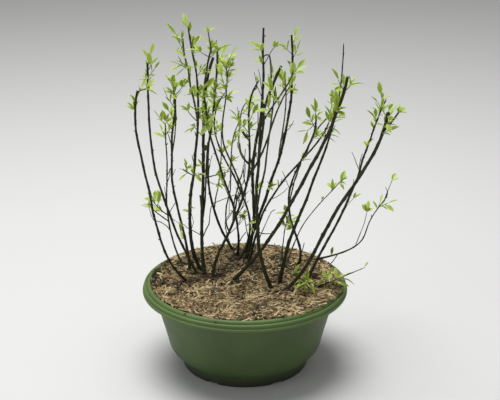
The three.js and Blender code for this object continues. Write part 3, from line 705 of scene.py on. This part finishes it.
RING_STEP = 2.6  # along a limb
LIMB_SIDES, TWIG_SIDES, STALK_SIDES = 12, 8, 6
TWIG_STEP = 1.8  # along a fine twig
SUNK, SUNK_WIDER = 6, 1.1  # how far a stem's foot reaches under the loose chips, and its width there
RIDGES = ((2, 0.05, 90), (3, 0.045, 55), (5, 0.04, 30))  # how many round a limb, how high, and their twist
RIPPLE = (0.05, 7)  # height and length of the rings in the bark
PHASE = (0, 6)  # where in their run ridges and rings start
BUD_SWELL, SWELL_VARY = 0.34, (0.5, 1.3)
BUD_BACK = 0.3  # share of the swelling on the side of the limb away from the bud
BUD_LENGTH = 2.8
BUD_RADIUS = 2.4  # on a limb thicker than this they swell less
SPUR_SPACING = 24  # between the little spurs on a limb
SPUR_RISE = (0.06, 0.97)
SPUR_LENGTH, SPUR_RADII, SPUR_LEAN = (1.2, 4.5), (1, 0.6), 0.7
SPUR_SEED, TWIG_SEED = 77, 100
BARE_RISE = (0.3, 0.78)  # where on a limb the bare twigs leave
BARE_LENGTH, BARE_GIRTH = (12, 48), (1.1, 1.9)
BARE_STEP = 16  # between a bare twig's corners
BARE_LEAN, BARE_TURN = (0.3, 0.8), 0.35
BARE_THIN = 0.65  # from its root to its end
BLUNT = 2.9  # a limb whose tip is thicker than this is cut off square
TIP_TAPER, TIP_WIDTH = 5, 0.45  # how long the other tips narrow over, and to what share
TWIG_RADII = (0.9, 0.55)


def tube(shapes, points, radius):
    """Adds a closed tube; radius is by ring and side."""
    along = unit(np.gradient(points, axis=0))
    reference = np.eye(3)[1 if abs(along[:, 1]).max() < 0.93 else 0]
    across = unit(reference - along * (along @ reference)[:, None])
    beside = np.cross(along, across)
    sides = radius.shape[1]
    angle = round_angles(sides)[:, None]
    turn = np.cos(angle) * across[:, None] + np.sin(angle) * beside[:, None]
    rings = points[:, None] + radius[:, :, None] * turn
    shapes.append((rings.reshape(-1, 3), ring_faces(len(points), sides)))


def bark_radius(lengths, base, sides, buds, seed):
    """A limb's thickness with its bark, by the distance along it: ridges and a swelling at each bud."""
    dice = np.random.default_rng(seed)
    angle = round_angles(sides)
    relief = np.zeros((len(lengths), sides))
    for lobes, size, pitch in RIDGES:
        shift = dice.uniform(0, FULL_TURN) + np.sin(lengths / pitch * FULL_TURN + dice.uniform(*PHASE))
        relief += size * np.sin(lobes * angle[None] + shift[:, None])
    relief += RIPPLE[0] * np.sin(lengths / RIPPLE[1] + dice.uniform(*PHASE))[:, None]
    for i, place in enumerate(buds):
        facing = np.cos(angle - i * GOLDEN_ANGLE)
        bump = np.exp(-(((lengths - place) / BUD_LENGTH) ** 2))
        swell = BUD_SWELL * dice.uniform(*SWELL_VARY) * min(1.0, BUD_RADIUS / base.mean())
        relief += swell * bump[:, None] * lerp(BUD_BACK, 1, np.clip(facing, 0, 1))[None]
    return base[:, None] * (1 + relief)


def lengths_along(points):
    return np.concatenate([[0], np.cumsum(np.linalg.norm(np.diff(points, axis=0), axis=1))])


def grow_tube(shapes, line, sides, seed, standing, taper):
    """A limb or twig with its bark; taper rounds off its end over that many millimetres."""
    t = np.linspace(0, 1, max(4, round(line.span() / RING_STEP)) + 1)
    points = line.points(t)
    lengths = lengths_along(points)
    base = line.radius(t)
    if standing:
        base = base + FLARE * np.exp(-np.clip(points[:, 2] - MULCH_TOP, 0, None) / FLARE_HEIGHT)
    buds = lengths[-1] * np.arange(1, line.buds * 2) / (line.buds * 2)
    radius = bark_radius(lengths, base, sides, buds, seed)
    if standing:
        below = points[:1] - [0, 0, SUNK]
        points, radius = np.vstack([below, points]), np.vstack([radius[:1] * SUNK_WIDER, radius])
    if taper:
        left = np.linalg.norm(points - points[-1], axis=1)
        radius = radius * np.clip(TIP_WIDTH + (1 - TIP_WIDTH) * left / taper, 0, 1)[:, None]
    tube(shapes, points, radius)


def grow_twig(shapes, root, corners, girth, seed):
    """A fine twig through its corners, which are a little rounded, with a bud at each of them."""
    marks = np.vstack([[0, 0, 0], corners]).astype(float) + root
    places = lengths_along(marks)
    at = np.linspace(0, places[-1], max(5, round(places[-1] / TWIG_STEP)) + 1)
    points = np.stack([np.interp(at, places, marks[:, axis]) for axis in range(3)], axis=1)
    for _ in range(2):
        points[1:-1] = (points[:-2] + 2 * points[1:-1] + points[2:]) / 4
    lengths = lengths_along(points)
    base = lerp(*girth, lengths / lengths[-1]) / 2
    tube(shapes, points, bark_radius(lengths, base, TWIG_SIDES, places[1:], seed))
    return points[-1], unit(points[-1] - points[-3])


def straight(shapes, stalk, radii):
    """A short straight tapering piece."""
    steps = np.linspace(0, 1, 4)
    points = stalk.root + np.outer(steps * stalk.length, stalk.direction)
    tube(shapes, points, np.repeat(lerp(*radii, steps)[:, None], STALK_SIDES, axis=1))


# ---- leaves

LEAF_STATIONS = np.array([0, 0.1, 0.24, 0.4, 0.56, 0.72, 0.87, 1])
LEAF_WIDTHS = np.array([0.1, 0.24, 0.66, 0.94, 1, 0.82, 0.44, 0.03])
LEAF_THICK = 0.35
RIB_EXTRA = 0.3  # keeps the midrib thick where the blade is narrow
RIB_ABOVE = 0.3  # how much of it stands above the blade
LEAF_FOLD = 0.3  # how far the edges rise, beside the half width
LEAF_ARCH = (-0.2, 0.7)
LEAF_TINTS = dict(light=(161, 180, 71), mid=(152, 172, 64), deep=(143, 164, 58))
BLADE_RATIO = 0.34  # width over length
BLADE_VARY = (0.85, 1.25)
TUFT_SPACING = 15
TUFT_SHARE = 0.35
TUFT_LEAF = (0.42, 0.92)  # length beside a leaf of the solids
TUFT_LEAN, TUFT_STRAY = (0.25, 1.05), 0.6
TUFT_LEAVES = (3, 3)  # least, and how many more at random
TUFT_PLACE = 0.9  # along its stalk
LOW_LEAVES = (0.4, 0.7)  # where on a shoot the small leaves sit
LOW_MOST = 2  # how many, were every bud to bear
BUD_STALK, BUD_LEAN = (2, 6), 0.8
TUFT_STALK = 1.5
TO_LIGHT = (0, -0.3, 0.3)  # the way that tufts on limbs lean
FINE_SEED = 51


def leaf_shapes(leaves):
    """Pointed blades, folded up a little along the midrib and arched along their length."""
    def column(key):
        return np.array([getattr(leaf, key) for leaf in leaves])

    direction, length = unit(column("direction")), column("length")
    side = unit(np.cross(direction, column("up")))
    face = np.cross(side, direction)[:, None]
    bend = column("arch")[:, None] * LEAF_STATIONS
    forward = length[:, None] * LEAF_STATIONS * (1 - bend ** 2 / 6)
    drop = -length[:, None] * LEAF_STATIONS * bend / 2
    middle = column("root")[:, None] + forward[..., None] * direction[:, None] + drop[..., None] * face
    width = (length * column("ratio") / 2)[:, None] * LEAF_WIDTHS
    wing = width[..., None] * side[:, None]
    raised = (LEAF_FOLD * width)[..., None] * face
    thick = (LEAF_THICK * np.minimum(1, LEAF_WIDTHS + RIB_EXTRA))[None, :, None] * face
    edge = middle + raised
    rings = np.stack([edge - wing, middle - thick, edge + wing, middle + thick * RIB_ABOVE], axis=2)
    return rings.reshape(len(leaves), -1, 3)


def tuft(root, direction, dice, fits, count=0, size=1.0):
    """Young leaves that spread from one bud, each turned by the golden angle from the last."""
    leaves = []
    turn = FULL_TURN * dice()
    for i in range(count):
        length = LEAF.length * size * lerp(*TUFT_LEAF, dice())
        spread = leaning(direction, lerp(*TUFT_LEAN, dice()), turn + i * GOLDEN_ANGLE + TUFT_STRAY * dice())
        add_leaf(leaves, root, lifted(spread, dice()), length, dice, fits)
    return leaves


def fine_growth(spray, shoots, dice, fits):
    """What the solids leave out: small leaves low on each shoot, and tufts between shoots."""
    leaves, stalks = [], []
    share = TUFT_SHARES.get(spray.name, TUFT_SHARE)
    for shoot in shoots:
        root = shoot.root + shoot.direction * shoot.length * lerp(*LOW_LEAVES, dice())
        leaves += tuft(root, shoot.direction, dice, fits, math.floor(LOW_MOST * share + dice()))
    line, ends = spray.line, spray.leafy
    tufts = round(line.span(*ends) / TUFT_SPACING * share)
    for i in range(tufts):
        t = lerp(*ends, (i + dice()) / tufts)
        bearing, length = FULL_TURN * dice(), lerp(*BUD_STALK, dice())
        direction = lifted(leaning(line.tangent(t), BUD_LEAN, bearing))
        root = line.point(t)
        stalks.append(Record(root=root, direction=direction, length=length))
        count = TUFT_LEAVES[0] + math.floor(TUFT_LEAVES[1] * dice())
        leaves += tuft(root + direction * length * TUFT_PLACE, direction, dice, fits, count)
    return leaves, stalks


# ---- the whole plant


def bare_twig(wood, line, dice, seed):
    """A thin bare twig on a limb, which turns a little at each of its buds."""
    at, bearing, length = lerp(*BARE_RISE, dice()), FULL_TURN * dice(), lerp(*BARE_LENGTH, dice() ** 1.5)
    direction = leaning(line.tangent(at), lerp(*BARE_LEAN, dice()), bearing)
    steps = 2 + math.floor(length / BARE_STEP)
    corners, end = [], np.zeros(3)
    for _ in range(steps):
        direction = unit(direction + BARE_TURN * np.array([dice() - 0.5, dice() - 0.5, 0.5 * dice()]))
        end = end + direction * length / steps
        corners.append(end)
    girth = lerp(*BARE_GIRTH, dice())
    grow_twig(wood, line.point(at), corners, (girth, girth * BARE_THIN), seed)


def bare_growth(limbs, twigs, leaves):
    """Fine twigs, tufts and spurs on the limbs, outside the leafy part of the sprays."""
    lines = {member.name: member.line for member in limbs + twigs}
    dice = Dice(SEED + FINE_SEED)
    wood, stalks = [], []
    rows = [(lines[name], *row) for name, *group in FINE_TWIGS for row in group]
    for i, (line, at, corners, girth, *leafy) in enumerate(rows):
        end, direction = grow_twig(wood, line.point(at), corners, girth, SPUR_SEED + i)
        leaves += tuft(end, direction, dice, None, *leafy)
    for i, (name, count) in enumerate(BARE_TWIGS.items()):
        for k in range(count):
            bare_twig(wood, lines[name], dice, SPUR_SEED * (2 + i) + k)
    for line, at, *leafy in [(lines[name], *row) for name, group in TUFTS.items() for row in group]:
        direction = unit(leaning(line.tangent(at), SPUR_LEAN, FULL_TURN * dice()) + np.array(TO_LIGHT))
        stalk = Record(root=line.point(at), direction=direction, length=TUFT_STALK + line.radius(at))
        stalks.append(stalk)
        leaves += tuft(stalk.root + direction * stalk.length, direction, dice, None, *leafy)
    for limb in limbs:
        line = limb.line
        spurs = line.span() / SPUR_SPACING
        for i in range(round(spurs)):
            at, bearing, length = (i + dice()) / spurs, FULL_TURN * dice(), lerp(*SPUR_LENGTH, dice() ** 2)
            if SPUR_RISE[0] < at < SPUR_RISE[1]:
                direction = leaning(line.tangent(at), SPUR_LEAN, bearing)
                spur = Record(root=line.point(at), direction=direction, length=length + line.radius(at))
                straight(wood, spur, SPUR_RADII)
    return wood, stalks


def make_plant():
    limbs, sprays = grow_plant()
    crowd = Crowd(sprays, limbs)
    old_wood, young_wood, green_wood = [], [], []
    spray_nodes = [f"{spray.name}_spray" for spray in sprays]
    for i, limb in enumerate(limbs):
        blunt = limb.line.girth[1] > BLUNT
        grow_tube(old_wood, limb.line, LIMB_SIDES, i, True, 0 if blunt else TIP_TAPER)
    leaves, stalks = [], []
    for i, spray in enumerate(sprays):
        if spray.low == 0:
            grow_tube(young_wood, spray.line, TWIG_SIDES, TWIG_SEED + i, spray.standing, TIP_TAPER)
        fits, dice = partial(crowd.fits, i), Dice(spray.seed + SPRAY_SEED)
        shoots = grow_shoots(spray, dice, fits)
        leaves += [leaf for shoot in shoots for leaf in grow_leaves(shoot, dice, fits)]
        fine, buds = fine_growth(spray, shoots, Dice(spray.seed + FINE_SEED), fits)
        leaves += fine
        stalks += shoots + buds
    wood, buds = bare_growth(limbs, [spray for spray in sprays if spray.low == 0], leaves)
    for stalk in stalks + buds:
        straight(green_wood, stalk, TWIG_RADII)
    dice = Dice(SEED)
    dealt = [[] for _ in LEAF_TINTS]
    for leaf in leaves:
        leaf.arch = lerp(*LEAF_ARCH, dice())
        leaf.ratio = BLADE_RATIO * lerp(*BLADE_VARY, dice())
        dealt[math.floor(len(dealt) * dice())].append(leaf)
    bark = bark_material("bark", (26, 27, 14), (64, 63, 38))
    young_bark = bark_material("young_bark", (38, 41, 20), (80, 82, 45))
    build("stems", old_wood, bark, [f"{limb.name}_stem" for limb in limbs], sharp=50)
    build("twigs", young_wood, young_bark, spray_nodes, sharp=50)
    build("fine_twigs", wood, young_bark, sharp=50)
    build("shoots", green_wood, leaf_material("shoot", 128, 148, 60), sharp=60)
    faces = ring_faces(len(LEAF_STATIONS), 4)
    for (tint, colour), chosen in zip(LEAF_TINTS.items(), dealt):
        shapes = [(shape, faces) for shape in leaf_shapes(chosen)]
        build(f"leaves_{tint}", shapes, leaf_material(f"leaf_{tint}", *colour), spray_nodes)


# ---- materials


def linear(*colour):
    """A colour given in 0 to 255 as a screen shows it."""
    shares = [value / 255 for value in colour]
    return (*(s / 12.92 if s <= 0.04045 else ((s + 0.055) / 1.055) ** 2.4 for s in shares), 1)


class Paint:
    """A material whose nodes are added one by one."""

    def __init__(self, name, roughness):
        self.material = bpy.data.materials.new(name)
        self.material.use_nodes = True
        self.tree = self.material.node_tree
        self.shader = self.tree.nodes["Principled BSDF"]
        self.place = self.add("TexCoord").outputs["Object"]
        self.feed(self.shader, Roughness=roughness)

    def feed(self, node, **inputs):
        """Each input gets a value, or what another node gives."""
        for name, source in inputs.items():
            socket = node.inputs[name.replace("_", " ")]
            if isinstance(source, bpy.types.NodeSocket):
                self.tree.links.new(source, socket)
            else:
                socket.default_value = source

    def add(self, kind, **inputs):
        node = self.tree.nodes.new("ShaderNode" + kind)
        self.feed(node, **inputs)
        return node

    def noise(self, scale, detail=4, stretch=None, distortion=0.0):
        place = self.place
        if stretch:
            place = self.add("Mapping", Vector=place, Scale=stretch).outputs["Vector"]
        node = self.add("TexNoise", Vector=place, Scale=scale, Detail=detail, Distortion=distortion)
        return node.outputs["Fac"]

    def ramp(self, factor, *stops):
        """Two colours by a factor; each stop is a place and a colour."""
        node = self.add("ValToRGB", Fac=factor)
        for element, (place, colour) in zip(node.color_ramp.elements, stops):
            element.position, element.color = place, colour
        return node.outputs["Color"]

    def mapped(self, value, **ends):
        return self.add("MapRange", Value=value, **ends).outputs["Result"]

    def by_height(self, height, low, high, below, above):
        """One colour below a band of heights and another above it."""
        node = self.add("Mix")
        node.data_type = "RGBA"
        self.feed(node, Factor=self.mapped(height, From_Min=low, From_Max=high), A=below, B=above)
        return node.outputs["Result"]

    def surface(self, colour, height, distance, strength=1.0, **more):
        """The material, with its colour, a bump in metres and whatever else its shader is fed."""
        bump = self.add("Bump", Height=height, Distance=distance, Strength=strength)
        self.feed(self.shader, Base_Color=colour, Normal=bump.outputs["Normal"], **more)
        return self.material


COLLAR_FOOT = 0.134  # metres up, where the bowl's colour turns to the collar's lighter one, painted light for the top-lit collar
COLLAR_HEAD = 0.139
FOOT_SHADE_TOP = 0.026  # painted shade: below this the foot is painted darker, for the contact shade near the floor
FOOT_SHADE_FLOOR = 0.004


def plastic():
    paint = Paint("green_plastic", 0.5)
    height = paint.add("SeparateXYZ", Vector=paint.place).outputs["Z"]
    clouds = paint.noise(14, 5)
    bowl = paint.ramp(clouds, (0.3, linear(57, 79, 34)), (0.7, linear(70, 92, 42)))
    # painted light: the collar gets a lighter green than the bowl, for the light from above on its upper face
    collar = paint.ramp(clouds, (0.3, linear(77, 101, 46)), (0.7, linear(87, 112, 54)))
    # painted shade: the bowl's colour is darkened towards the foot, for the contact shade near the floor
    shaded_bowl = paint.by_height(height, FOOT_SHADE_FLOOR, FOOT_SHADE_TOP, linear(38, 43, 32), bowl)
    sheen = paint.mapped(paint.noise(60, 3), To_Min=0.46, To_Max=0.62)
    # painted light and shade: the collar's lighter paint above, the bowl's paint with its darkened foot below
    colour = paint.by_height(height, COLLAR_FOOT, COLLAR_HEAD, shaded_bowl, collar)
    return paint.surface(colour, paint.noise(900, 2), 0.0001, 0.5, Roughness=sheen)


def two_tone(name, dark, light, roughness, stops, bump, specular=0.5, **grain):
    """A matt material mottled between two colours."""
    paint = Paint(name, roughness)
    grain = paint.noise(**grain)
    colour = paint.ramp(grain, (stops[0], linear(*dark)), (stops[1], linear(*light)))
    return paint.surface(colour, grain, bump, Specular_IOR_Level=specular)


def bark_material(name, dark, light):
    return two_tone(name, dark, light, 0.75, (0.35, 0.7), 0.0005, 0.3,
                    scale=700, detail=5, stretch=(1, 1, 0.12))


def leaf_material(name, *colour):
    paint = Paint(name, 0.5)
    return paint.surface(linear(*colour), paint.noise(900, 2), 0.00015, 0.6, Subsurface_Weight=0.5,
                         Subsurface_Radius=(0.5, 0.7, 0.15), Subsurface_Scale=0.001)


# ---- stage

CAMERA_PLACE = (0.0087, -1.998, 1.034)
CAMERA_PITCH = math.radians(20.19)  # down from level
FOCAL_PIXELS = 1254
PICTURE_WIDTH = 500
SENSOR = 36
FLOOR_HALF = 12  # metres
SKY_STRENGTH = 0.36
LIGHTS = [  # name, place, what it is aimed at, size, watts and spread in degrees
    ("overhead", (-0.4, 0.5, 3.4), (0, 0, 0), 2.6, 80, 130),
    ("front", (-2.0, -1.6, 1.3), (0, 0, 0.2), 1.6, 8.5, 180),
]


def make_stage():
    scene = bpy.context.scene
    mesh = bpy.data.meshes.new("floor")
    corners = [(x * FLOOR_HALF, y * FLOOR_HALF, 0) for x, y in ((-1, -1), (1, -1), (1, 1), (-1, 1))]
    mesh.from_pydata(corners, [], [(0, 1, 2, 3)])
    floor = placed("floor", mesh)
    paint = Paint("floor", 0.6)
    paint.feed(paint.shader, Base_Color=linear(200, 200, 199))
    mesh.materials.append(paint.material)

    camera = placed("camera", bpy.data.cameras.new("camera"))
    camera.location = CAMERA_PLACE
    camera.rotation_euler = (math.pi / 2 - CAMERA_PITCH, 0, 0)
    camera.data.sensor_width = SENSOR
    camera.data.lens = FOCAL_PIXELS / PICTURE_WIDTH * SENSOR
    scene.camera = camera

    for name, place, aim, size, power, spread in LIGHTS:
        light = placed(name, bpy.data.lights.new(name, "AREA"))
        light.data.shape = "DISK"
        light.data.size = size
        light.data.energy = power
        light.data.spread = math.radians(spread)
        light.location = place
        light.rotation_mode = "QUATERNION"
        light.rotation_quaternion = (Vector(aim) - Vector(place)).to_track_quat("-Z", "Y")

    world = bpy.data.worlds.new("room")
    world.use_nodes = True
    sky = world.node_tree.nodes["Background"]
    sky.inputs["Color"].default_value = (1, 1, 1, 1)
    sky.inputs["Strength"].default_value = SKY_STRENGTH
    scene.world = world
    scene.view_settings.view_transform = "Standard"


# ---- all together

make_stage()
make_pot(plastic())
make_bed(two_tone("mulch_bed", (36, 28, 19), (92, 75, 52), 0.95, (0.3, 0.7), 0.002,
                  scale=260, detail=6, distortion=1.2))
make_chips()
make_plant()
